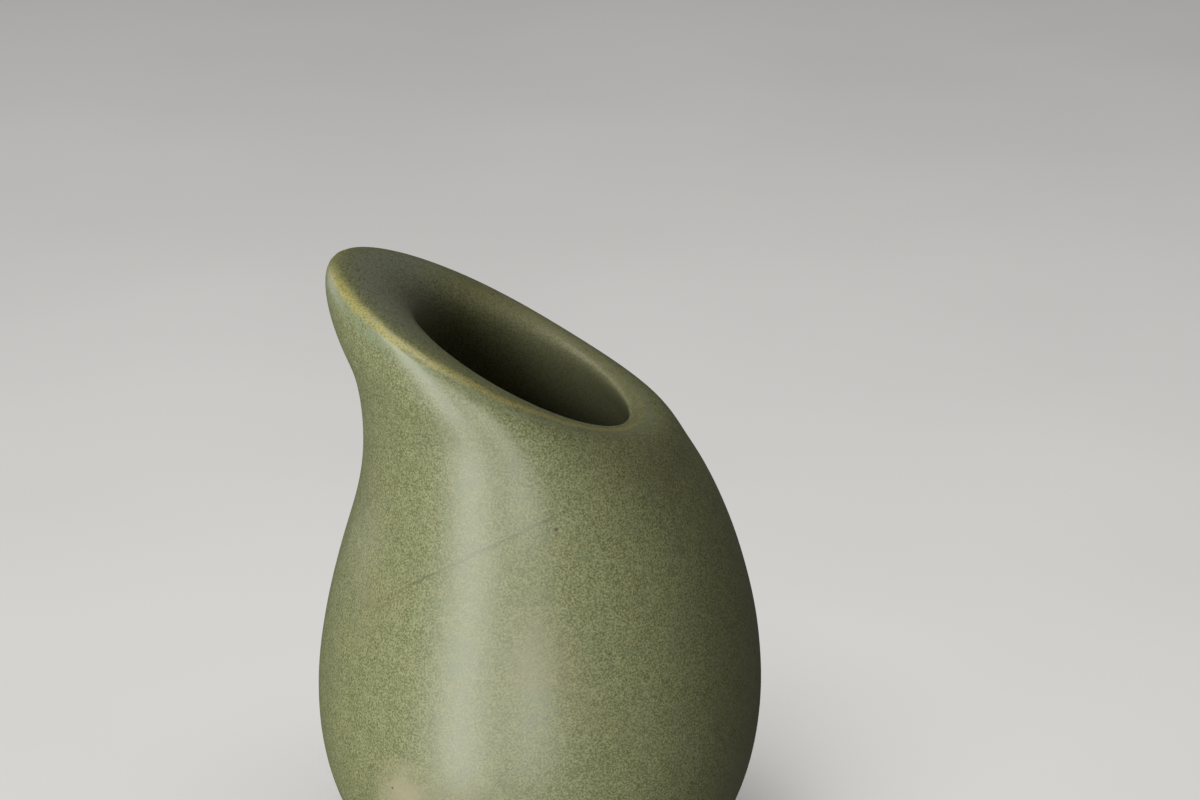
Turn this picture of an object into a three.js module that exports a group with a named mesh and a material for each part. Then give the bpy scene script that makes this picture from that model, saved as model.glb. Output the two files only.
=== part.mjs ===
// A stoneware vase, wheel-thrown and then altered: a full round belly over a turned foot ring,
// a short neck, and a thick lip that leans back and rises into a beak on the -X side.
// Millimetres, +Z up. The foot stands on z = 0 and its centre is the origin.
//
// The clay is in six pieces that meet face to face: foot ring, base disc, lower wall, belly
// wall, shoulder wall and lip. Three coats of glaze lie on it: one outside and over the lip,
// one inside, and one in the hollow of the foot.
import * as THREE from 'three';

// ---- Driving dimensions ----

const BELLY_RADIUS = 67.4;
const BELLY_HEIGHT = 65;
const FOOT_RADIUS = 41;
const FOOT_HEIGHT = 6;
const FOOT_WIDTH = 8.5;
const FOOT_EDGE_ROUND = 1.2;
const RECESS_DEPTH = 5.5;
const WALL = 6.5;
const FLOOR_TOP = 14;

const GLAZE = 0.7;
const JOINT_GAP = 0.3;
const SEGMENTS = 40;

// Every level of the pot is a ring: a circle of the given radius whose centre is shifted
// along X by lean, and which is tilted so that its -X side is rise above its centre and its
// +X side is rise below it. The rings run from the glaze line above the foot, up the outside,
// over the crest of the lip, down through the throat and along the inside to the floor.
// steps is the number of facets from a ring to the next one.
const RINGS = [
  { name: 'glazeLine', lean: 0, radius: FOOT_RADIUS + 2, height: FOOT_HEIGHT + 1, rise: 0, steps: 2 },
  { name: 'heel', lean: 0, radius: 52.5, height: 14, rise: 0, steps: 2 },
  { name: 'low', lean: -0.3, radius: 61.4, height: 28, rise: 0, steps: 3 },
  { name: 'belly', lean: 0, radius: BELLY_RADIUS, height: BELLY_HEIGHT, rise: 0, steps: 2 },
  { name: 'high', lean: 0.3, radius: 63.8, height: 92, rise: 0, steps: 2 },
  { name: 'shoulder', lean: 0, radius: 57.6, height: 114, rise: 0, steps: 2 },
  { name: 'waist', lean: -1.2, radius: 50.7, height: 136.3, rise: 4.6, steps: 2 },
  { name: 'collar', lean: -4.8, radius: 49.3, height: 152.2, rise: 12.5, steps: 2 },
  { name: 'lipOuter', lean: -10.5, radius: 48.8, height: 163.4, rise: 15.8, steps: 3 },
  { name: 'crest', lean: -14.2, radius: 44, height: 173.4, rise: 23.6, steps: 4 },
  { name: 'lipInner', lean: -9.8, radius: 36.6, height: 170.8, rise: 21.6, steps: 3 },
  { name: 'throat', lean: -2, radius: 33.6, height: 157.8, rise: 20.4, steps: 3 },
  { name: 'neckInside', lean: -2.5, radius: 40, height: 138, rise: 9, steps: 3 },
  { name: 'shoulderInside', lean: 0, radius: 57.6 - WALL, height: 112, rise: 0, steps: 3 },
  { name: 'bellyInside', lean: 0, radius: BELLY_RADIUS - WALL, height: BELLY_HEIGHT, rise: 0, steps: 3 },
  { name: 'lowInside', lean: 0, radius: 54.5, height: 31, rise: 0, steps: 2 },
  { name: 'floorEdge', lean: 0, radius: 41, height: FLOOR_TOP + 1, rise: 0, steps: 2 },
  { name: 'floorCentre', lean: 0, radius: 0, height: FLOOR_TOP, rise: 0, steps: 0 },
];

// ---- The skin: a smooth curve through the rings ----

// Where a ring crosses the vertical plane through X, on its low side (+1) and high side (-1).
function sidePoint(ring, side) {
  return new THREE.Vector2(ring.lean + side * ring.radius, ring.height - side * ring.rise);
}

// Each ring's place along the curve: the mean distance run on the low side and the high side.
function knotPlaces(rings) {
  const places = [0];
  for (let i = 1; i < rings.length; i += 1) {
    const low = sidePoint(rings[i], 1).distanceTo(sidePoint(rings[i - 1], 1));
    const high = sidePoint(rings[i], -1).distanceTo(sidePoint(rings[i - 1], -1));
    places.push(places[i - 1] + (low + high) / 2);
  }
  return places;
}

// Second derivatives of the natural cubic spline through (places, values).
function splineBends(places, values) {
  const count = places.length;
  const bends = new Array(count).fill(0);
  const ratios = new Array(count).fill(0);
  for (let i = 1; i < count - 1; i += 1) {
    const before = places[i] - places[i - 1];
    const after = places[i + 1] - places[i];
    const turn = (values[i + 1] - values[i]) / after - (values[i] - values[i - 1]) / before;
    const weight = 2 * (before + after) - before * ratios[i - 1];
    ratios[i] = after / weight;
    bends[i] = (6 * turn - before * bends[i - 1]) / weight;
  }
  for (let i = count - 2; i > 0; i -= 1) {
    bends[i] -= ratios[i] * bends[i + 1];
  }
  return bends;
}

// Value of the spline on the span from knot i, at the fraction part of the way along it.
function splineValue(places, values, bends, i, part) {
  const span = places[i + 1] - places[i];
  const rest = 1 - part;
  const curve = (rest ** 3 - rest) * bends[i] + (part ** 3 - part) * bends[i + 1];
  return rest * values[i] + part * values[i + 1] + (curve * span * span) / 6;
}

// Facet corners along the skin, each with its ring values and the name of the span it is in.
function sampleSkin(rings) {
  const places = knotPlaces(rings);
  const channels = {};
  for (const key of ['lean', 'radius', 'height', 'rise']) {
    const values = rings.map((ring) => ring[key]);
    channels[key] = { values, bends: splineBends(places, values) };
  }
  const read = (key, i, part) => splineValue(places, channels[key].values, channels[key].bends, i, part);
  const samples = [];
  rings.slice(0, -1).forEach((ring, i) => {
    for (let step = 0; step < ring.steps; step += 1) {
      const part = step / ring.steps;
      samples.push({
        name: step === 0 ? ring.name : '',
        lean: read('lean', i, part),
        radius: read('radius', i, part),
        height: read('height', i, part),
        rise: read('rise', i, part),
      });
    }
  });
  samples.push({ ...rings[rings.length - 1] });
  return samples;
}

const SKIN = sampleSkin(RINGS);

// The skin moved into the clay by depth, square to its own section.
function layer(depth) {
  return SKIN.map((point, i) => {
    const before = SKIN[Math.max(i - 1, 0)];
    const after = SKIN[Math.min(i + 1, SKIN.length - 1)];
    const along = new THREE.Vector2(after.radius - before.radius, after.height - before.height).normalize();
    const radius = point.radius === 0 ? 0 : point.radius - along.y * depth;
    const height = point.radius === 0 ? point.height - depth : point.height + along.x * depth;
    return { ...point, radius, height };
  });
}

// The stretch of a layer from one named ring to another.
function stretch(points, from, to) {
  const first = points.findIndex((point) => point.name === from);
  const last = points.findIndex((point) => point.name === to);
  return points.slice(first, last + 1);
}

// A stretch's end slid along its layer by distance, to leave half of a joint's gap.
function trimEnd(points, distance) {
  const end = points[points.length - 1];
  const near = points[points.length - 2];
  const length = Math.hypot(end.radius - near.radius, end.height - near.height);
  const part = distance / length;
  const slid = { ...end };
  for (const key of ['lean', 'radius', 'height', 'rise']) {
    slid[key] = end[key] + (near[key] - end[key]) * part;
  }
  return [...points.slice(0, -1), slid];
}

function trimStart(points, distance) {
  return trimEnd([...points].reverse(), distance).reverse();
}

// A plain level corner, with no lean and no tilt.
function corner(radius, height) {
  return { lean: 0, radius, height, rise: 0 };
}

// ---- Turning a section into a solid ----

// Turns a section, which runs anticlockwise round the solid with the axis on its left, and
// then leans and tilts each of its rings. An open section starts and ends on the axis.
function turned(name, material, section) {
  const onAxis = section[0].radius === 0;
  const loop = onAxis ? section : [...section, section[0]];
  const outline = loop.map((point) => new THREE.Vector2(point.radius, point.height));
  const geometry = new THREE.LatheGeometry(outline, SEGMENTS, Math.PI / 2);
  geometry.rotateX(Math.PI / 2);
  const position = geometry.attributes.position;
  for (let i = 0; i < position.count; i += 1) {
    const ring = loop[i % loop.length];
    const side = ring.radius === 0 ? 0 : position.getX(i) / ring.radius;
    position.setX(i, position.getX(i) + ring.lean);
    position.setZ(i, position.getZ(i) - side * ring.rise);
  }
  geometry.computeVertexNormals();
  const mesh = new THREE.Mesh(geometry, material);
  mesh.name = name;
  return mesh;
}

// Rounds a corner of a section: the arc runs from angle start to angle end, in quarter turns.
function roundedCorner(radius, height, round, start, end) {
  const arc = [];
  const pieces = 2;
  for (let i = 0; i <= pieces; i += 1) {
    const angle = (Math.PI / 2) * (start + ((end - start) * i) / pieces);
    arc.push(corner(radius + round * Math.cos(angle), height + round * Math.sin(angle)));
  }
  return arc;
}

// ---- Materials ----

const bareClay = new THREE.MeshStandardMaterial({ color: 0x9a8468, roughness: 0.9, metalness: 0 });
const oliveGlaze = new THREE.MeshStandardMaterial({ color: 0x7f8157, roughness: 0.5, metalness: 0 });
const linerGlaze = new THREE.MeshStandardMaterial({ color: 0x6c6f42, roughness: 0.45, metalness: 0 });

// ---- The pieces ----

const CLAY_DEPTH = GLAZE + JOINT_GAP;
const skin = layer(0);
const glazeBack = layer(GLAZE);
const clay = layer(CLAY_DEPTH);
const HALF_GAP = JOINT_GAP / 2;

// The bare ring that the vase stands on, with its four edges softened.
function footRing() {
  const inside = FOOT_RADIUS - FOOT_WIDTH;
  const top = RECESS_DEPTH - HALF_GAP;
  const round = FOOT_EDGE_ROUND;
  return turned('foot_ring', bareClay, [
    ...roundedCorner(inside + round, round, round, 2, 3),
    ...roundedCorner(FOOT_RADIUS - round, round, round, 3, 4),
    corner(FOOT_RADIUS, top),
    corner(inside, top),
  ]);
}

// The floor of the pot: flat underneath, dished on top, and cut on a slant at its rim.
function baseDisc() {
  const underside = RECESS_DEPTH + HALF_GAP;
  const rim = trimEnd(stretch(clay, 'glazeLine', 'heel'), HALF_GAP);
  const top = trimStart(stretch(clay, 'floorEdge', 'floorCentre'), HALF_GAP);
  return turned('base_disc', bareClay, [
    corner(0, underside),
    corner(FOOT_RADIUS, underside),
    ...rim,
    ...top,
  ]);
}

// A band of the wall between two joints, from its outer lower edge round to its inner one.
function wallBand(name, outerFrom, outerTo, innerFrom, innerTo) {
  const outside = trimStart(trimEnd(stretch(clay, outerFrom, outerTo), HALF_GAP), HALF_GAP);
  const inside = trimStart(trimEnd(stretch(clay, innerFrom, innerTo), HALF_GAP), HALF_GAP);
  return turned(name, bareClay, [...outside, ...inside]);
}

// The rolled lip, solid from the collar over the crest and down the throat.
function lip() {
  const band = stretch(clay, 'collar', 'neckInside');
  return turned('lip', bareClay, trimStart(trimEnd(band, HALF_GAP), HALF_GAP));
}

// A coat of glaze on a stretch of the skin: out along its back and home along its face,
// or the other way about, whichever keeps the section anticlockwise.
function coat(name, material, from, to, trimmedStart) {
  const face = trimmedStart ? trimStart(stretch(skin, from, to), JOINT_GAP) : stretch(skin, from, to);
  const back = trimmedStart ? trimStart(stretch(glazeBack, from, to), JOINT_GAP) : stretch(glazeBack, from, to);
  const endsOnAxis = face[face.length - 1].radius === 0;
  if (endsOnAxis) {
    return turned(name, material, [...back.reverse(), ...face]);
  }
  return turned(name, material, [...face, ...back.reverse()]);
}

// The thin wash of glaze in the hollow under the floor, inside the foot ring.
function undersideGlaze() {
  const rim = FOOT_RADIUS - FOOT_WIDTH - JOINT_GAP;
  const top = RECESS_DEPTH - HALF_GAP;
  return turned('underside_glaze', oliveGlaze, [
    corner(0, top - GLAZE),
    corner(rim, top - GLAZE),
    corner(rim, top),
    corner(0, top),
  ]);
}

const vase = new THREE.Group();
vase.name = 'vase';
vase.add(
  footRing(),
  baseDisc(),
  wallBand('lower_wall', 'heel', 'belly', 'bellyInside', 'floorEdge'),
  wallBand('belly_wall', 'belly', 'shoulder', 'shoulderInside', 'bellyInside'),
  wallBand('shoulder_wall', 'shoulder', 'collar', 'neckInside', 'shoulderInside'),
  lip(),
  coat('outer_glaze', oliveGlaze, 'glazeLine', 'neckInside', false),
  coat('inner_glaze', linerGlaze, 'neckInside', 'floorCentre', true),
  undersideGlaze(),
);

export default vase;
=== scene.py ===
"""A wheel-thrown stoneware vase under satin olive glaze, standing on a plain pale floor.

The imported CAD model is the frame. The pieces that show are rebuilt here as fine closed meshes
on the same rings as the CAD model: the two coats of glaze, the foot ring, the base and the
glaze wash in the hollow of the foot. Every material is a procedural node tree. Lengths are in
metres and MM turns millimetres into metres, but materials measure places in millimetres.
"""

import math

import bpy
import numpy as np
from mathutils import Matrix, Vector, noise


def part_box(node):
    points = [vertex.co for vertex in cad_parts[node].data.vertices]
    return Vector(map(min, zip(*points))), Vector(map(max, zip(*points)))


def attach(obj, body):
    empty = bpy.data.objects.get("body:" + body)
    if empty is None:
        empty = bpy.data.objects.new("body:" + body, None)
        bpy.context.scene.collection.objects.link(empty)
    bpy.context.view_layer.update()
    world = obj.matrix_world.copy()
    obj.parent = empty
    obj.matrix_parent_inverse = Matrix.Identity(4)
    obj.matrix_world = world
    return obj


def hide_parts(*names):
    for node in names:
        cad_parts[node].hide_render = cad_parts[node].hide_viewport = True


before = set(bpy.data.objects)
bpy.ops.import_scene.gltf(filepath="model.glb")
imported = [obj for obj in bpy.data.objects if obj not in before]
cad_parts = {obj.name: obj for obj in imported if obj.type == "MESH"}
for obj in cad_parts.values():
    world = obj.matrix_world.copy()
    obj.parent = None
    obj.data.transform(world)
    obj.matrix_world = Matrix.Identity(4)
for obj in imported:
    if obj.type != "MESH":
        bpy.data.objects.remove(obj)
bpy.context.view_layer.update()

MM = 0.001

# ---- Sizes, from the frame where it gives them ----

glaze_low, glaze_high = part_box("outer_glaze")
_, foot_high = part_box("foot_ring")
base_low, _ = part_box("base_disc")
wash_low, wash_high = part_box("underside_glaze")

BELLY_RADIUS = glaze_high.x
GLAZE_LINE = glaze_low.z
FOOT_RADIUS = foot_high.x
FOOT_TOP = foot_high.z
FOOT_WIDTH = 8.5 * MM
WASH_RADIUS = wash_high.x
WASH_BOTTOM = wash_low.z
WASH_TOP = wash_high.z
GLAZE = WASH_TOP - WASH_BOTTOM
JOINT_GAP = base_low.z - FOOT_TOP
CLAY_DEPTH = GLAZE + JOINT_GAP
TOUCH_GAP = 0.02 * MM
WALL = 6.5 * MM
FLOOR_TOP = 14 * MM

# ---- The rings of the pot ----

# Each ring is a circle, shifted along X by lean and tilted so that its -X side stands rise
# above its centre: (name, lean, radius, height, rise) in millimetres, as the CAD model has
# them, from the glaze line up the outside, over the crest of the lip and down the inside.
RINGS = (
    ("glaze_line", 0, FOOT_RADIUS / MM + 2, GLAZE_LINE / MM, 0),
    ("heel", 0, 52.5, 14, 0),
    ("low", -0.3, 61.4, 28, 0),
    ("belly", 0, BELLY_RADIUS / MM, 65, 0),
    ("high", 0.3, 63.8, 92, 0),
    ("shoulder", 0, 57.6, 114, 0),
    ("waist", -1.2, 50.7, 136.3, 4.6),
    ("collar", -4.8, 49.3, 152.2, 12.5),
    ("lip_outer", -10.5, 48.8, 163.4, 15.8),
    ("crest", -14.2, 44, 173.4, 23.6),
    ("lip_inner", -9.8, 36.6, 170.8, 21.6),
    ("throat", -2, 33.6, 157.8, 20.4),
    ("neck_inside", -2.5, 40, 138, 9),
    ("shoulder_inside", 0, 57.6 - WALL / MM, 112, 0),
    ("belly_inside", 0, (BELLY_RADIUS - WALL) / MM, 65, 0),
    ("low_inside", 0, 54.5, 31, 0),
    ("floor_edge", 0, 41, FLOOR_TOP / MM + 1, 0),
    ("floor_centre", 0, 0, FLOOR_TOP / MM, 0),
)
RING_NAMES = [ring[0] for ring in RINGS]
RING_VALUES = np.array([ring[1:] for ring in RINGS]) * MM


def knot_places(values):
    """Each ring's place along the skin: the mean distance run on its low and high sides."""
    lean, radius, height, rise = values.T
    low = np.stack([lean + radius, height - rise], axis=1)
    high = np.stack([lean - radius, height + rise], axis=1)
    steps = [np.linalg.norm(np.diff(side, axis=0), axis=1) for side in (low, high)]
    return np.concatenate([[0], np.cumsum((steps[0] + steps[1]) / 2)])


def spline_bends(places, values):
    """Second derivatives, at the knots, of the natural cubic spline through the values."""
    count = len(places)
    system = np.eye(count)
    turns = np.zeros_like(values)
    for i in range(1, count - 1):
        before = places[i] - places[i - 1]
        after = places[i + 1] - places[i]
        system[i, i - 1 : i + 2] = before, 2 * (before + after), after
        turns[i] = 6 * ((values[i + 1] - values[i]) / after - (values[i] - values[i - 1]) / before)
    return np.linalg.solve(system, turns)


KNOTS = knot_places(RING_VALUES)
BENDS = spline_bends(KNOTS, RING_VALUES)


def place_of(name):
    """The place of a named ring along the skin."""
    return KNOTS[RING_NAMES.index(name)]


def skin_at(places):
    """Lean, radius, height and rise of the skin at each place, one row each."""
    i = np.clip(np.searchsorted(KNOTS, places, side="right") - 1, 0, len(KNOTS) - 2)
    span = (KNOTS[i + 1] - KNOTS[i])[:, None]
    part = (places - KNOTS[i])[:, None] / span
    rest = 1 - part
    curve = (rest**3 - rest) * BENDS[i] + (part**3 - part) * BENDS[i + 1]
    return rest * RING_VALUES[i] + part * RING_VALUES[i + 1] + curve * span**2 / 6


def layer_at(places, depth):
    """The skin moved into the clay by depth, a number or one for each place."""
    rows = skin_at(places)
    nudge = 0.1 * MM
    ahead = skin_at(np.minimum(places + nudge, KNOTS[-1]))
    behind = skin_at(np.maximum(places - nudge, 0))
    along = ahead[:, 1:3] - behind[:, 1:3]
    along /= np.linalg.norm(along, axis=1, keepdims=True)
    rows[:, 1] -= along[:, 1] * depth
    rows[:, 2] += along[:, 0] * depth
    return rows


def evenly(start, end, spacing):
    """Places from start to end, spaced as near to spacing as whole steps allow."""
    count = max(int(round(abs(end - start) / spacing)), 2)
    return np.linspace(start, end, count + 1)


# ---- Turning sections into closed meshes ----

SHARP_ANGLE = math.radians(50)


def level(radii, heights):
    """Rows of a section with no lean and no tilt."""
    rows = np.zeros((len(radii), 4))
    rows[:, 1] = radii
    rows[:, 2] = heights
    return rows


def rounded(radius, height, round_by, start, end):
    """Rows of a corner rounded about (radius, height), from start to end in quarter turns."""
    pieces = 8
    angles = np.linspace(start, end, pieces + 1) * math.pi / 2
    return level(radius + round_by * np.cos(angles), height + round_by * np.sin(angles))


def wander(points, _marks):
    """How far a hand-thrown wall stands out from its true surface, in metres."""
    reach = 0.25 * MM
    broad_share = 0.75
    broad_waves, broad_shift = 22, Vector((3.1, 0.7, 9.2))  # waves to the metre
    soft_waves, soft_shift = 55, Vector((8.4, 2.2, 1.3))
    out = []
    for point in points.tolist():
        broad = noise.noise(Vector(point) * broad_waves + broad_shift)
        soft = noise.noise(Vector(point) * soft_waves + soft_shift)
        out.append(broad_share * broad + (1 - broad_share) * soft)
    return reach * np.array(out)


def finger_ridges(points, marks):
    """The spiral ridges that fingers leave inside a thrown pot, fading in below the neck."""
    pitch = 8.5 * MM
    reach = 0.5 * MM
    fade = 30 * MM
    below_neck = marks - (place_of("neck_inside") - place_of("crest"))
    from_axis = np.hypot(points[:, 0], points[:, 1])
    turn = np.arctan2(points[:, 1], points[:, 0])
    ridge = 0.5 + 0.5 * np.sin(2 * math.pi * marks / pitch + turn)
    strength = np.clip(below_neck / fade, 0, 1) * np.clip(from_axis / fade, 0, 1)
    return wander(points, marks) - reach * ridge * strength


def ring_points(rows, segments):
    """The points round each row of a section, one row after another."""
    angles = np.arange(segments) * 2 * math.pi / segments
    lean, radius, height, rise = (rows[:, [k]] for k in range(4))
    across = lean + radius * np.cos(angles)
    towards_back = radius * np.sin(angles)
    up = height - rise * np.cos(angles)
    return np.stack([across, towards_back, up], axis=-1).reshape(-1, 3)


def ring_faces(rows, segments, joins_up):
    """Quads from each row to the next, and from the last to the first if it joins up."""
    first = np.arange(rows if joins_up else rows - 1)
    second = (first + 1) % rows
    column = np.arange(segments)
    beside = (column + 1) % segments
    corners = [
        first[:, None] * segments + column,
        first[:, None] * segments + beside,
        second[:, None] * segments + beside,
        second[:, None] * segments + column,
    ]
    return np.stack(corners, axis=-1).reshape(-1, 4).tolist()


def end_faces(rows, segments):
    """Triangles from the first and last rows to the two end points, which come after them."""
    start_point = rows * segments
    end_point = start_point + 1
    last_row = (rows - 1) * segments
    beside = [(k + 1) % segments for k in range(segments)]
    faces = [[start_point, beside[k], k] for k in range(segments)]
    faces += [[end_point, last_row + k, last_row + beside[k]] for k in range(segments)]
    return faces


def turned(name, section, segments, marks=None, relief=None):
    """A closed mesh turned from a section whose rows are lean, radius, height and rise.

    The section runs anticlockwise round the solid with the axis on its left. Where it starts
    and ends on the axis, each end is one point. marks is one length per row, kept as the
    mesh's attribute "along", in millimetres. relief(points, marks) says how far each point
    moves away from the axis, in metres.
    """
    on_axis = section[0, 1] == 0
    body = section[1:-1] if on_axis else section
    points = ring_points(body, segments)
    faces = ring_faces(len(body), segments, joins_up=not on_axis)
    values = None
    if marks is not None:
        values = np.repeat(marks[1:-1] if on_axis else marks, segments)
    if on_axis:
        ends = np.zeros((2, 3))
        ends[:, 2] = section[[0, -1], 2]
        points = np.concatenate([points, ends])
        faces += end_faces(len(body), segments)
        if marks is not None:
            values = np.concatenate([values, marks[[0, -1]]])
    if relief:
        from_axis = np.linalg.norm(points[:, :2], axis=1, keepdims=True)
        outward = points[:, :2] / np.maximum(from_axis, MM)
        points[:, :2] += outward * relief(points, values)[:, None]
    mesh = bpy.data.meshes.new(name)
    mesh.from_pydata(points.tolist(), [], faces)
    mesh.update()
    mesh.shade_smooth()
    mesh.set_sharp_from_angle(angle=SHARP_ANGLE)
    if marks is not None:
        attribute = mesh.attributes.new("along", "FLOAT", "POINT")
        attribute.data.foreach_set("value", (values / MM).astype(np.float32))
    piece = bpy.data.objects.new(name, mesh)
    bpy.context.scene.collection.objects.link(piece)
    return piece


# ---- Node helpers ----


def new_tree(name):
    """An empty node material and its tree."""
    material = bpy.data.materials.new(name)
    material.use_nodes = True
    material.node_tree.nodes.clear()
    return material, material.node_tree


def plug(tree, socket, value):
    """Links an output to a socket, or sets the socket to a number or a colour."""
    if isinstance(value, bpy.types.NodeSocket):
        tree.links.new(value, socket)
    elif isinstance(value, tuple) and len(value) == 3 and socket.type == "RGBA":
        socket.default_value = (*value, 1)
    else:
        socket.default_value = value


def add(tree, kind, settings=None, **inputs):
    """A node with its settings and inputs, whose names have _ for each space."""
    made = tree.nodes.new(kind)
    for key, value in (settings or {}).items():
        setattr(made, key, value)
    for key, value in inputs.items():
        plug(tree, made.inputs[key.replace("_", " ")], value)
    return made


def maths(tree, operation, *values):
    """The output of a Math node on numbers or outputs."""
    made = add(tree, "ShaderNodeMath", {"operation": operation})
    for socket, value in zip(made.inputs, values):
        plug(tree, socket, value)
    return made.outputs[0]


def ramp(tree, value, low, high, to_low=0.0, to_high=1.0, kind="SMOOTHSTEP"):
    """value from low..high spread over to_low..to_high and held at the ends."""
    made = add(tree, "ShaderNodeMapRange", {"interpolation_type": kind, "clamp": True})
    for socket, number in zip(made.inputs, (value, low, high, to_low, to_high)):
        plug(tree, socket, number)
    return made.outputs["Result"]


def mix(tree, share, first, second):
    """The colour that is first where share is 0 and second where it is 1."""
    made = add(tree, "ShaderNodeMix", {"data_type": "RGBA"})
    share_socket, first_socket, second_socket = (made.inputs[k] for k in (0, 6, 7))
    plug(tree, share_socket, share)
    plug(tree, first_socket, first)
    plug(tree, second_socket, second)
    return made.outputs[2]


def millimetres(tree):
    """Places on the piece, in millimetres."""
    where = add(tree, "ShaderNodeTexCoord").outputs["Object"]
    scaled = add(tree, "ShaderNodeVectorMath", {"operation": "SCALE"}, Vector=where, Scale=1 / MM)
    return scaled.outputs[0]


def grain(tree, where, size, detail=2.0, rough=0.5, shift=0.0):
    """Noise about 0.5, whose blobs are about size millimetres across."""
    made = add(
        tree,
        "ShaderNodeTexNoise",
        {"noise_dimensions": "4D"},
        Vector=where,
        W=shift,
        Scale=1 / size,
        Detail=detail,
        Roughness=rough,
    )
    return made.outputs[0]


def band(tree, value, middle, inner, outer):
    """1 where value is within inner of middle, falling to 0 where it is outer away."""
    away = maths(tree, "ABSOLUTE", maths(tree, "SUBTRACT", value, middle))
    return ramp(tree, away, inner, outer, 1.0, 0.0)


def distance_from(tree, where, centre):
    """How far each place is from a centre, in millimetres."""
    gap = add(tree, "ShaderNodeVectorMath", {"operation": "DISTANCE"})
    plug(tree, gap.inputs[0], where)
    plug(tree, gap.inputs[1], centre)
    return gap.outputs["Value"]


def product(tree, *values):
    """The product of two or more numbers or outputs."""
    total = values[0]
    for value in values[1:]:
        total = maths(tree, "MULTIPLY", total, value)
    return total


def around_zero(tree, noise_value, reach):
    """Noise from 0 to 1 turned into a length from -reach / 2 to reach / 2, in millimetres."""
    return maths(tree, "MULTIPLY", maths(tree, "SUBTRACT", noise_value, 0.5), reach)


# ---- Glaze ----

OLIVE_DARK = (0.088, 0.095, 0.037)
OLIVE_PALE = (0.197, 0.207, 0.107)
SEA_GREEN = (0.095, 0.128, 0.070)
TAN = (0.190, 0.155, 0.085)
# The colour of a painted reflection of warm light, low on the front left.
PAINTED_WARM_REFLECTION = (0.255, 0.235, 0.150)
OCHRE = (0.300, 0.272, 0.090)
ASH_GREEN = (0.140, 0.168, 0.104)
# The next three are painted shade and light inside the mouth: painted shade deep in the throat, a
# painted cool sky reflection in the beak and painted light on the far inner wall.
PAINTED_THROAT_SHADE = (0.066, 0.075, 0.040)
PAINTED_SKY_SHEEN = (0.178, 0.198, 0.160)
PAINTED_FAR_WALL_LIGHT = (0.268, 0.268, 0.158)
LINE_BROWN = (0.050, 0.055, 0.030)
IRON = (0.025, 0.022, 0.015)

# Sizes of the mottle's two grains and of the slow drift that makes edges ragged, in
# millimetres, and the share that the fine grain has in the mottle.
FINE_SIZE, MIDDLING_SIZE, DRIFT_SIZE = 0.54, 2.6, 7
FINE_SHARE = 0.75

# The mottle's noise values at which a grain is darkest and palest, and those at which the
# glaze is shiniest and most matt, with the roughness and the shine that it has at those two.
DARKEST, PALEST = 0.34, 0.66
SHINIEST, MATTEST = 0.32, 0.68
ROUGHNESS = (0.36, 0.40)
SHINE = (0.64, 0.36)

# Faint clouds over the mottle: (colour, size in millimetres, detail, roughness, shift, the
# noise value that each comes in at, the value that it is full at, its strength there).
CLOUDS = (
    (SEA_GREEN, 3.5, 2.0, 0.50, 19.0, 0.50, 0.75, 0.30),
    (SEA_GREEN, 14, 3.0, 0.55, 7.0, 0.50, 0.75, 0.16),
    (TAN, 42, 2.0, 0.50, 11.0, 0.50, 0.72, 0.22),
)

# Where the edge of an earlier dip shows through the last one: each line is where a plane
# z = height + slope_x x + slope_y y cuts the pot, in millimetres: (slope_x, slope_y, height,
# strength, the range of x that it fades in over, and the range that it fades out over).
DIP_LINES = (
    (0.52, -0.40, 114.6, 0.30, (-62, -22), (0, 30)),
    (-0.80, 0.10, 161.0, 0.12, (25, 34), (56, 64)),
    (0.10, -0.36, 144.0, 0.14, (-70, -55), (-18, -6)),
)

# Places, radii, how widely edges wander and how high the grains stand are in millimetres, and
# each pinhole is (x, y, z, radius).
# The pale warm patch low on the front left is a painted reflection of a warm light.
PAINTED_REFLECTION_CENTRE = (-39.0, -56.0, 51.0)
PAINTED_REFLECTION_RADIUS = 17
PAINTED_REFLECTION_WANDER = 14
PAINTED_REFLECTION_STRENGTH = 0.80
EDGE_WANDER = 3
PINHOLES = ((5.9, -50.8, 133.7, 0.55), (8.1, -49.3, 138.4, 0.28))
IRON_SPACING = 7
IRON_RADIUS = 0.55
GLAZE_BUMP = 0.03

# Bands along the crest of the lip, in millimetres along the skin from the crest, plus inside:
# (middle, half the full width, half the width where it has faded out).
HALO_BAND = (-4.8, 0.8, 3.4)
OCHRE_BAND = (-1.0, 0.5, 2.6)


def with_clouds(tree, where, colour):
    """The colour with the faint clouds over it."""
    for cloud, size, detail, rough, shift, comes, full, strength in CLOUDS:
        noise_value = grain(tree, where, size, detail, rough, shift)
        shown = ramp(tree, noise_value, comes, full, 0.0, strength)
        colour = mix(tree, shown, colour, cloud)
    return colour


def with_painted_reflection(tree, where, drift, colour):
    """The colour with a pale ragged warm patch on it: a painted reflection of a warm light."""
    ragged = around_zero(tree, drift, PAINTED_REFLECTION_WANDER)
    from_spot = maths(tree, "ADD", distance_from(tree, where, PAINTED_REFLECTION_CENTRE), ragged)
    strength = ramp(tree, from_spot, 0, PAINTED_REFLECTION_RADIUS, PAINTED_REFLECTION_STRENGTH, 0.0)
    return mix(tree, strength, colour, PAINTED_WARM_REFLECTION)


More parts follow.
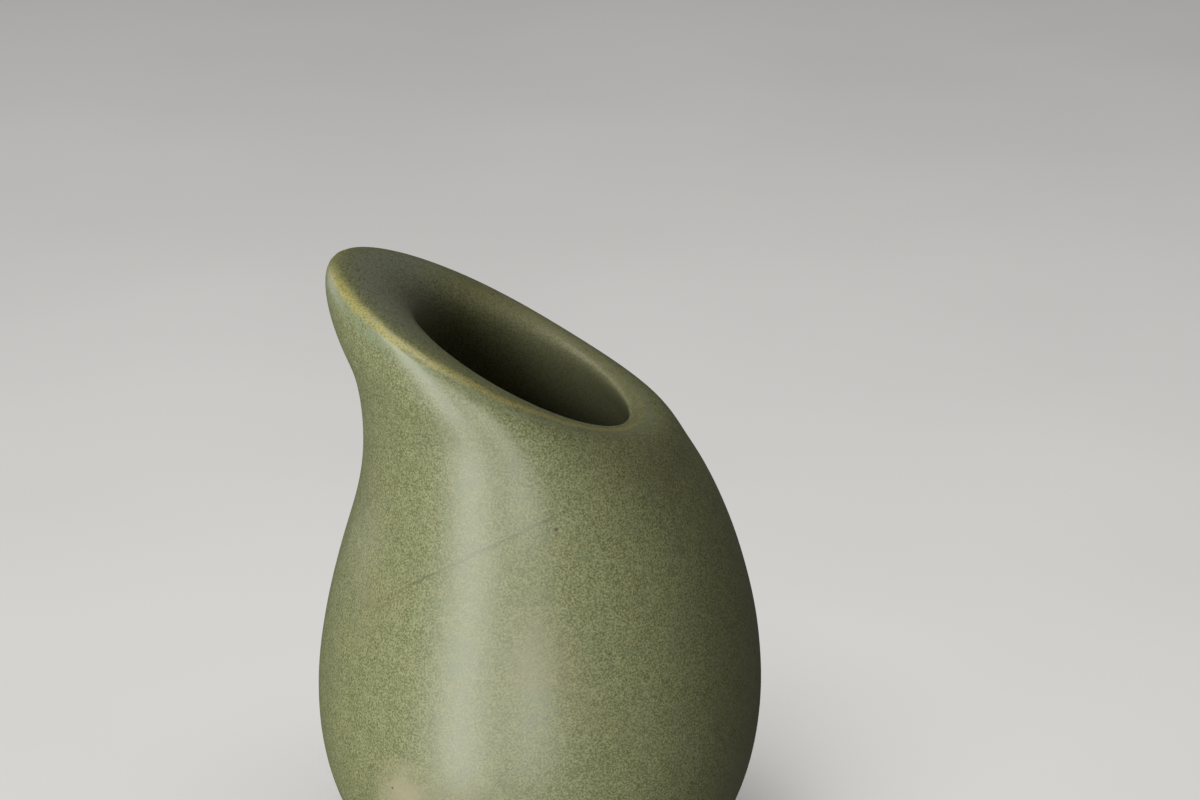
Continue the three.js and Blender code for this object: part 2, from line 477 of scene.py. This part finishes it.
def with_painted_inside_light_and_shade(tree, where, along, fine, colour):
    """The colour with painted light and shade inside the mouth: a painted cool sky reflection in
    the beak, painted shade deep in the throat and painted light on the far side of the lip.
    """
    x, y, _ = add(tree, "ShaderNodeSeparateXYZ", Vector=where).outputs
    above_liner = ramp(tree, along, 40, 70, 1.0, 0.0)

    # Painted reflection of cool light from above, laid mostly on the pale grains inside the beak.
    past_crest = ramp(tree, along, 1, 5)
    in_beak = ramp(tree, x, -42, -22, 0.85, 0.0)
    pale_grains = ramp(tree, fine, 0.34, 0.62, 0.05, 1.0)
    sky_sheen = product(tree, above_liner, past_crest, in_beak, pale_grains)
    colour = mix(tree, sky_sheen, colour, PAINTED_SKY_SHEEN)

    # Painted shade deep in the throat on the beak side.
    in_throat = ramp(tree, along, 6, 18)
    beak_side = ramp(tree, x, -34, -12, 0.75, 0.0)
    dark_grains = ramp(tree, fine, 0.36, 0.62, 1.0, 0.40)
    throat_shade = product(tree, above_liner, in_throat, beak_side, dark_grains)
    colour = mix(tree, throat_shade, colour, PAINTED_THROAT_SHADE)

    # Painted light over the crest on the far, low side of the lip.
    over_crest = ramp(tree, along, -8, 8)
    low_side = ramp(tree, x, -25, 8, 0.0, 0.70)
    back = ramp(tree, y, -10, 14)
    most_grains = ramp(tree, fine, 0.32, 0.62, 0.60, 1.0)
    pale = product(tree, above_liner, over_crest, low_side, back, most_grains)
    return mix(tree, pale, colour, PAINTED_FAR_WALL_LIGHT)


def with_crest_tones(tree, where, along, fine, middling, drift, colour):
    """The colour with an ash-green halo and an ochre break along the crest, the break faded by
    painted shade at the back.
    """
    x, y, _ = add(tree, "ShaderNodeSeparateXYZ", Vector=where).outputs
    from_crest = maths(tree, "ADD", along, around_zero(tree, drift, EDGE_WANDER))

    blotches = ramp(tree, middling, 0.38, 0.62, 0.10, 0.55)
    halo = product(tree, band(tree, from_crest, *HALO_BAND), blotches)
    colour = mix(tree, halo, colour, ASH_GREEN)

    # The ochre break is the glaze's own and is weaker towards the right; its fade towards the back
    # is painted shade, where the crest is in shadow.
    beak_side = ramp(tree, x, -35, 45, 0.84, 0.45)
    front = ramp(tree, y, -20, 2, 1.0, 0.30)
    pale_grains = ramp(tree, fine, 0.32, 0.60, 0.42, 1.0)
    ochre = product(tree, band(tree, from_crest, *OCHRE_BAND), beak_side, front, pale_grains)
    return mix(tree, ochre, colour, OCHRE)


def dip_lines(tree, where, drift):
    """How strongly the thin lines of earlier dips darken the glaze on the front."""
    full_within, gone_beyond = 0.15, 0.75
    x, y, z = add(tree, "ShaderNodeSeparateXYZ", Vector=where).outputs
    front = ramp(tree, y, -20, 5, 1.0, 0.0)
    wobble = around_zero(tree, drift, EDGE_WANDER)
    shown = 0.0
    for slope_x, slope_y, height, strength, comes, goes in DIP_LINES:
        plane = maths(tree, "MULTIPLY_ADD", x, slope_x, height)
        plane = maths(tree, "MULTIPLY_ADD", y, slope_y, plane)
        off = maths(tree, "ADD", maths(tree, "SUBTRACT", z, plane), wobble)
        near = band(tree, off, 0.0, full_within, gone_beyond)
        begins = ramp(tree, x, *comes)
        ends = ramp(tree, x, *goes, 1.0, 0.0)
        line = product(tree, near, strength, begins, ends)
        shown = maths(tree, "MAXIMUM", line, shown)
    return product(tree, shown, front)


def iron_spots(tree, where):
    """How strongly rare iron spots and the pinholes on the neck darken the glaze."""
    spotless_share = 0.80
    soft_edge = 0.4
    darkening = 0.7
    cells = add(tree, "ShaderNodeTexVoronoi", Vector=where, Scale=1 / IRON_SPACING)
    chosen = add(tree, "ShaderNodeSeparateColor", Color=cells.outputs["Color"]).outputs[0]
    radius = ramp(tree, chosen, spotless_share, 1.0, 0.0, IRON_RADIUS, kind="LINEAR")
    distance = maths(tree, "MULTIPLY", cells.outputs["Distance"], IRON_SPACING)
    spots = ramp(tree, maths(tree, "SUBTRACT", radius, distance), -0.10, 0.12)
    for *place, size in PINHOLES:
        away = distance_from(tree, where, tuple(place))
        hole = ramp(tree, away, size * (1 - soft_edge), size * (1 + soft_edge), 1.0, 0.0)
        spots = maths(tree, "MAXIMUM", spots, hole)
    return maths(tree, "MULTIPLY", spots, darkening)


def glaze_material():
    """Satin olive stoneware glaze.

    The mesh's attribute "along" is the way along the skin from the crest of the lip, in
    millimetres, plus inside and minus outside.
    """
    material, tree = new_tree("satin_olive_glaze")
    where = millimetres(tree)
    x = add(tree, "ShaderNodeSeparateXYZ", Vector=where).outputs[0]
    along = add(tree, "ShaderNodeAttribute", {"attribute_name": "along"}).outputs["Fac"]

    fine = grain(tree, where, FINE_SIZE, detail=0.0)
    middling = grain(tree, where, MIDDLING_SIZE, detail=2.0, rough=0.55, shift=4.0)
    drift = grain(tree, where, DRIFT_SIZE, detail=2.0, rough=0.5, shift=15.0)
    fine_part = maths(tree, "MULTIPLY", fine, FINE_SHARE)
    mottle = maths(tree, "MULTIPLY_ADD", middling, 1 - FINE_SHARE, fine_part)

    tone = ramp(tree, mottle, DARKEST, PALEST, kind="LINEAR")
    colour = mix(tree, tone, OLIVE_DARK, OLIVE_PALE)
    colour = with_clouds(tree, where, colour)
    colour = with_painted_reflection(tree, where, drift, colour)
    colour = with_painted_inside_light_and_shade(tree, where, along, fine, colour)
    colour = with_crest_tones(tree, where, along, fine, middling, drift, colour)
    colour = mix(tree, dip_lines(tree, where, drift), colour, LINE_BROWN)
    colour = mix(tree, iron_spots(tree, where), colour, IRON)

    rough = ramp(tree, mottle, SHINIEST, MATTEST, *ROUGHNESS, kind="LINEAR")
    shine = ramp(tree, mottle, SHINIEST, MATTEST, *SHINE, kind="LINEAR")
    dull_inside = ramp(tree, along, 1, 9, 1.0, 0.35)
    dull_beak_tip = ramp(tree, x, -56, -44, 0.45, 1.0)
    shine = product(tree, shine, dull_inside, dull_beak_tip)
    bump = add(tree, "ShaderNodeBump", Strength=0.20, Distance=GLAZE_BUMP * MM, Height=mottle)
    shader = add(
        tree,
        "ShaderNodeBsdfPrincipled",
        Base_Color=colour,
        Roughness=rough,
        Specular_IOR_Level=shine,
        Normal=bump.outputs[0],
    )
    add(tree, "ShaderNodeOutputMaterial", Surface=shader.outputs[0])
    return material


# ---- Bare clay and the floor ----

CLAY_DARK = (0.215, 0.140, 0.085)
CLAY_PALE = (0.430, 0.330, 0.225)
CLAY_FLASH = (0.330, 0.165, 0.080)
GROG = (0.070, 0.050, 0.035)

# Sizes in millimetres, except that the largest grog's radius is a share of GROG_SPACING.
SAND_SIZE, SAND_BUMP = 0.7, 0.15
FLASH_SIZE = 14
GROG_SPACING, LARGEST_GROG = 1.6, 0.20

FLOOR_DARK = (0.66, 0.66, 0.655)
FLOOR_PALE = (0.69, 0.69, 0.685)
FLOOR_CLOUD_SIZE = 260
FLOOR_GLOW = 0.25


def clay_material():
    """Bare fired stoneware: warm buff and sandy, flashed with orange, with dark grog in it."""
    grogless_share = 0.6
    grog_strength = 0.75
    material, tree = new_tree("bare_stoneware")
    where = millimetres(tree)
    sand = grain(tree, where, SAND_SIZE, detail=3.0, rough=0.65)
    flash = grain(tree, where, FLASH_SIZE, detail=2.0, rough=0.5, shift=3.0)
    cells = add(tree, "ShaderNodeTexVoronoi", Vector=where, Scale=1 / GROG_SPACING)
    chosen = add(tree, "ShaderNodeSeparateColor", Color=cells.outputs["Color"]).outputs[0]
    radius = ramp(tree, chosen, grogless_share, 1.0, 0.0, LARGEST_GROG, kind="LINEAR")
    inside = maths(tree, "SUBTRACT", radius, cells.outputs["Distance"])
    speck = maths(tree, "MULTIPLY", ramp(tree, inside, -0.03, 0.05), grog_strength)

    tone = ramp(tree, sand, 0.35, 0.65, kind="LINEAR")
    colour = mix(tree, tone, CLAY_DARK, CLAY_PALE)
    colour = mix(tree, ramp(tree, flash, 0.42, 0.70, 0.0, 0.55), colour, CLAY_FLASH)
    colour = mix(tree, speck, colour, GROG)
    bump = add(tree, "ShaderNodeBump", Strength=0.5, Distance=SAND_BUMP * MM, Height=sand)
    shader = add(
        tree,
        "ShaderNodeBsdfPrincipled",
        Base_Color=colour,
        Roughness=ramp(tree, sand, 0.3, 0.7, 0.80, 0.95),
        Normal=bump.outputs[0],
    )
    add(tree, "ShaderNodeOutputMaterial", Surface=shader.outputs[0])
    return material


def floor_material():
    """A plain pale matt floor, which glows a little so that the wall behind stays pale."""
    material, tree = new_tree("pale_floor")
    cloud = grain(tree, millimetres(tree), FLOOR_CLOUD_SIZE, detail=2.0)
    colour = mix(tree, ramp(tree, cloud, 0.3, 0.7), FLOOR_DARK, FLOOR_PALE)
    shader = add(
        tree,
        "ShaderNodeBsdfPrincipled",
        Base_Color=colour,
        Roughness=0.95,
        Emission_Color=colour,
        Emission_Strength=FLOOR_GLOW,
    )
    add(tree, "ShaderNodeOutputMaterial", Surface=shader.outputs[0])
    return material


glaze = glaze_material()
clay = clay_material()

# ---- The pieces that show ----

# How far apart the rows of each face are, and how many segments go round each piece.
FACE_SPACING = 1.3 * MM
LINER_SPACING = 2 * MM
BACK_SPACING = 4 * MM
COAT_SEGMENTS = 288
FOOT_SEGMENTS = 256
WASH_SEGMENTS = 192


def outer_coat():
    """The coat outside and over the lip, ending above the foot in a soft rolled bead."""
    start, end = place_of("glaze_line"), place_of("neck_inside")
    bead_reach = 1.6 * MM
    bead_height = 0.25 * MM
    edge_rows = 8
    half = CLAY_DEPTH / 2 - TOUCH_GAP
    face_places = evenly(start + half, end, FACE_SPACING)
    swell = bead_height * np.exp(-(((face_places - start - bead_reach) / bead_reach) ** 2))
    face = layer_at(face_places, -swell)
    turn = np.linspace(1, 0, edge_rows, endpoint=False)[::-1] * math.pi
    edge_places = start + half * (1 - np.sin(turn))
    edge = layer_at(edge_places, half * (1 - np.cos(turn)))
    back_places = evenly(end, start + 2 * bead_reach, BACK_SPACING)
    back = layer_at(back_places, GLAZE)
    places = np.concatenate([face_places, back_places, edge_places[::-1]])
    section = np.concatenate([face, back, edge[::-1]])
    return turned("outer_glaze_coat", section, COAT_SEGMENTS, places - place_of("crest"), wander)


def liner_coat():
    """The liner: a cup of glaze inside the pot, with the finger ridges of the clay under it."""
    start = place_of("neck_inside") + TOUCH_GAP
    end = place_of("floor_centre")
    face_places = evenly(start, end, LINER_SPACING)
    back_places = evenly(end, start, BACK_SPACING)
    section = np.concatenate([layer_at(back_places, GLAZE), layer_at(face_places, 0)])
    section[[0, -1], 1] = 0
    places = np.concatenate([back_places, face_places])
    return turned("liner_coat", section, COAT_SEGMENTS, places - place_of("crest"), finger_ridges)


def turned_foot():
    """The bare foot ring, with soft edges and fine lines from the trimming tool."""
    inside = FOOT_RADIUS - FOOT_WIDTH
    edge = 1.2 * MM
    line_depth = 0.12 * MM
    line_pitch = 1.5 * MM
    rows_per_line = 6
    heights = evenly(edge, FOOT_TOP, line_pitch / rows_per_line)[1:]
    lines = 0.5 + 0.5 * np.sin((heights - edge) * 2 * math.pi / line_pitch)
    outer_side = level(FOOT_RADIUS - line_depth * lines, heights)
    section = np.concatenate(
        [
            rounded(inside + edge, edge, edge, 2, 3),
            rounded(FOOT_RADIUS - edge, edge, edge, 3, 4),
            outer_side,
            level([inside], [FOOT_TOP]),
        ]
    )
    return turned("turned_foot", section, FOOT_SEGMENTS)


def turned_base():
    """The floor of the pot: a bare bevel shows between the foot ring and the bead of glaze."""
    underside = FOOT_TOP + TOUCH_GAP
    inset = 0.3 * MM
    rim_top = place_of("heel") - JOINT_GAP / 2
    floor_start = place_of("floor_edge") + JOINT_GAP / 2
    rim = layer_at(evenly(place_of("glaze_line"), rim_top, BACK_SPACING), CLAY_DEPTH)
    top = layer_at(evenly(floor_start, place_of("floor_centre"), BACK_SPACING), CLAY_DEPTH)
    top[-1, 1] = 0
    under = level([0, FOOT_RADIUS - inset], [underside, underside])
    return turned("turned_base", np.concatenate([under, rim, top]), FOOT_SEGMENTS)


def recess_wash():
    """The wash of glaze in the hollow of the foot, over the rings that trimming left there."""
    row_spacing = 0.4 * MM
    radii = evenly(0, WASH_RADIUS + JOINT_GAP - TOUCH_GAP, row_spacing)
    pitch, groove_depth = 3.4 * MM, 0.16 * MM
    nub_radius, nub_height = 3 * MM, 0.35 * MM
    fillet_width, fillet_height = 2 * MM, 1.3 * MM
    far_outside = -60 * MM
    groove = groove_depth * (0.5 + 0.5 * np.cos(radii * 2 * math.pi / pitch))
    nub = nub_height * np.exp(-((radii / nub_radius) ** 2))
    fillet = fillet_height * np.clip((radii - radii[-1] + fillet_width) / fillet_width, 0, 1) ** 2
    under = level(radii, WASH_BOTTOM + groove - nub - fillet)
    top = level([radii[-1], 0], [WASH_TOP, WASH_TOP])
    section = np.concatenate([under, top])
    marks = np.full(len(section), far_outside)
    return turned("recess_wash", section, WASH_SEGMENTS, marks)


for piece, nodes, slot_name, material in (
    (outer_coat(), ["outer_glaze"], "outer_glaze", glaze),
    (liner_coat(), ["inner_glaze"], "liner_glaze", glaze),
    (recess_wash(), ["underside_glaze"], "outer_glaze", glaze),
    (turned_foot(), ["foot_ring"], "bare_clay", clay),
    (turned_base(), ["base_disc"], "bare_clay", clay),
):
    piece.data.materials.append(material)
    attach(piece, "root")
    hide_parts(*nodes)

for node in ("lower_wall", "belly_wall", "shoulder_wall", "lip"):
    for material_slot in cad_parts[node].material_slots:
        material_slot.material = clay

# ---- Floor and backdrop ----


def cyclorama():
    """A round floor that curves up all round into a wall, seen from inside."""
    floor_radius, bend_radius, wall_top = 2.6, 1.0, 3.2
    segments, bend_rows = 96, 13
    bend = np.linspace(0, math.pi / 2, bend_rows)
    radii = [*(floor_radius + bend_radius * np.sin(bend)), floor_radius + bend_radius]
    heights = [*(bend_radius - bend_radius * np.cos(bend)), wall_top]
    points = [(0, 0, 0)]
    for radius, height in zip(radii, heights):
        for k in range(segments):
            angle = 2 * math.pi * k / segments
            points.append((radius * math.cos(angle), radius * math.sin(angle), height))
    faces = [(0, 1 + k, 1 + (k + 1) % segments) for k in range(segments)]
    for row in range(len(radii) - 1):
        for k in range(segments):
            here = 1 + row * segments + k
            beside = 1 + row * segments + (k + 1) % segments
            faces.append((here, here + segments, beside + segments, beside))
    mesh = bpy.data.meshes.new("backdrop")
    mesh.from_pydata(points, [], faces)
    mesh.shade_smooth()
    backdrop = bpy.data.objects.new("backdrop", mesh)
    bpy.context.scene.collection.objects.link(backdrop)
    return backdrop


backdrop = cyclorama()
backdrop.data.materials.append(floor_material())

# Some lights reach below the floor, so the backdrop lets their light through to the vase, and
# it sends no light of its own back to it.
backdrop.visible_shadow = False
backdrop.visible_glossy = False
backdrop.visible_diffuse = False

# ---- Camera ----

CAMERA_ELEVATION = math.radians(20.5)
CAMERA_DISTANCE = 0.835
CAMERA_LENS, SENSOR_WIDTH = 85, 36  # millimetres
CAMERA_TARGET = Vector((18.2, 0, 153.5)) * MM

camera_data = bpy.data.cameras.new("camera")
camera_data.lens = CAMERA_LENS
camera_data.sensor_width = SENSOR_WIDTH
camera = bpy.data.objects.new("camera", camera_data)
bpy.context.scene.collection.objects.link(camera)
toward_camera = Vector((0, -math.cos(CAMERA_ELEVATION), math.sin(CAMERA_ELEVATION)))
camera.location = CAMERA_TARGET + toward_camera * CAMERA_DISTANCE
camera.rotation_euler = toward_camera.to_track_quat("Z", "Y").to_euler()
bpy.context.scene.camera = camera

# ---- Light ----

LIGHT_CENTRE = Vector((0, 0, 100)) * MM
WHITE = (1.0, 1.0, 1.0)
WARM_WHITE = (1.0, 0.95, 0.9)
COOL_WHITE = (1.0, 1.0, 0.96)
WORLD_COLOUR = (1.0, 0.94, 0.88)
WORLD_STRENGTH = 0.07

# Each light: (name, azimuth, elevation, distance, width, height, watts, and its colour unless
# it is white). The angles are in degrees and the lengths in metres. The tall window at the
# front left and the two fills from behind light nothing but the vase, because they would leave
# bright patches on the floor.
VASE_LIGHTS = (
    ("upper_left", 41, 33, 1.2, 0.40, 0.36, 6.5, COOL_WHITE),
    ("left_pane_low", 38, -22, 1.2, 0.50, 0.40, 5.8),
    ("left_pane_high", 38, 5, 1.2, 0.50, 0.68, 8.4),
    ("right_pane", 3, -7, 1.2, 0.30, 0.87, 6),
    ("back_left", 125, 12, 1.3, 0.8, 0.8, 4),
    ("back_right", -140, 10, 1.3, 0.8, 0.8, 1.3),
)
FLOOR_LIGHT = ("floor_light", 35, 62, 2.2, 1.3, 1.3, 22)
TOP_LIGHT = ("top", 0, 85, 1.2, 0.8, 0.8, 6.5, WARM_WHITE)


def softbox(name, azimuth, elevation, distance, width, height, watts, colour=WHITE):
    """An area light at azimuth degrees, 0 in front and + to the left, and elevation degrees."""
    data = bpy.data.lights.new(name, "AREA")
    data.shape = "RECTANGLE"
    data.size = width
    data.size_y = height
    data.energy = watts
    data.color = colour
    light = bpy.data.objects.new(name, data)
    bpy.context.scene.collection.objects.link(light)
    turn, rise = math.radians(azimuth), math.radians(elevation)
    reach = math.cos(rise)
    way = Vector((-math.sin(turn) * reach, -math.cos(turn) * reach, math.sin(rise)))
    light.location = LIGHT_CENTRE + way * distance
    light.rotation_euler = way.to_track_quat("Z", "Y").to_euler()
    light.visible_camera = False
    return light


def light_only(light, name, *lit):
    """Lets a light fall on nothing but the objects in lit."""
    chosen = bpy.data.collections.new(name)
    for thing in lit:
        chosen.objects.link(thing)
    light.light_linking.receiver_collection = chosen


softbox(*TOP_LIGHT)
vase = [thing for thing in bpy.context.scene.objects if thing.type == "MESH" and thing != backdrop]
for setting in VASE_LIGHTS:
    light = softbox(*setting)
    # back_right only fills the shaded side, so it shows in no reflection.
    light.visible_glossy = light.name != "back_right"
    light_only(light, "lit_by_" + light.name, *vase)
floor_light = softbox(*FLOOR_LIGHT)
light_only(floor_light, "lit_by_floor_light", backdrop)

world = bpy.data.worlds.new("studio")
world.use_nodes = True
background = world.node_tree.nodes["Background"]
background.inputs["Color"].default_value = (*WORLD_COLOUR, 1)
background.inputs["Strength"].default_value = WORLD_STRENGTH
bpy.context.scene.world = world
bpy.context.scene.view_settings.view_transform = "Standard"
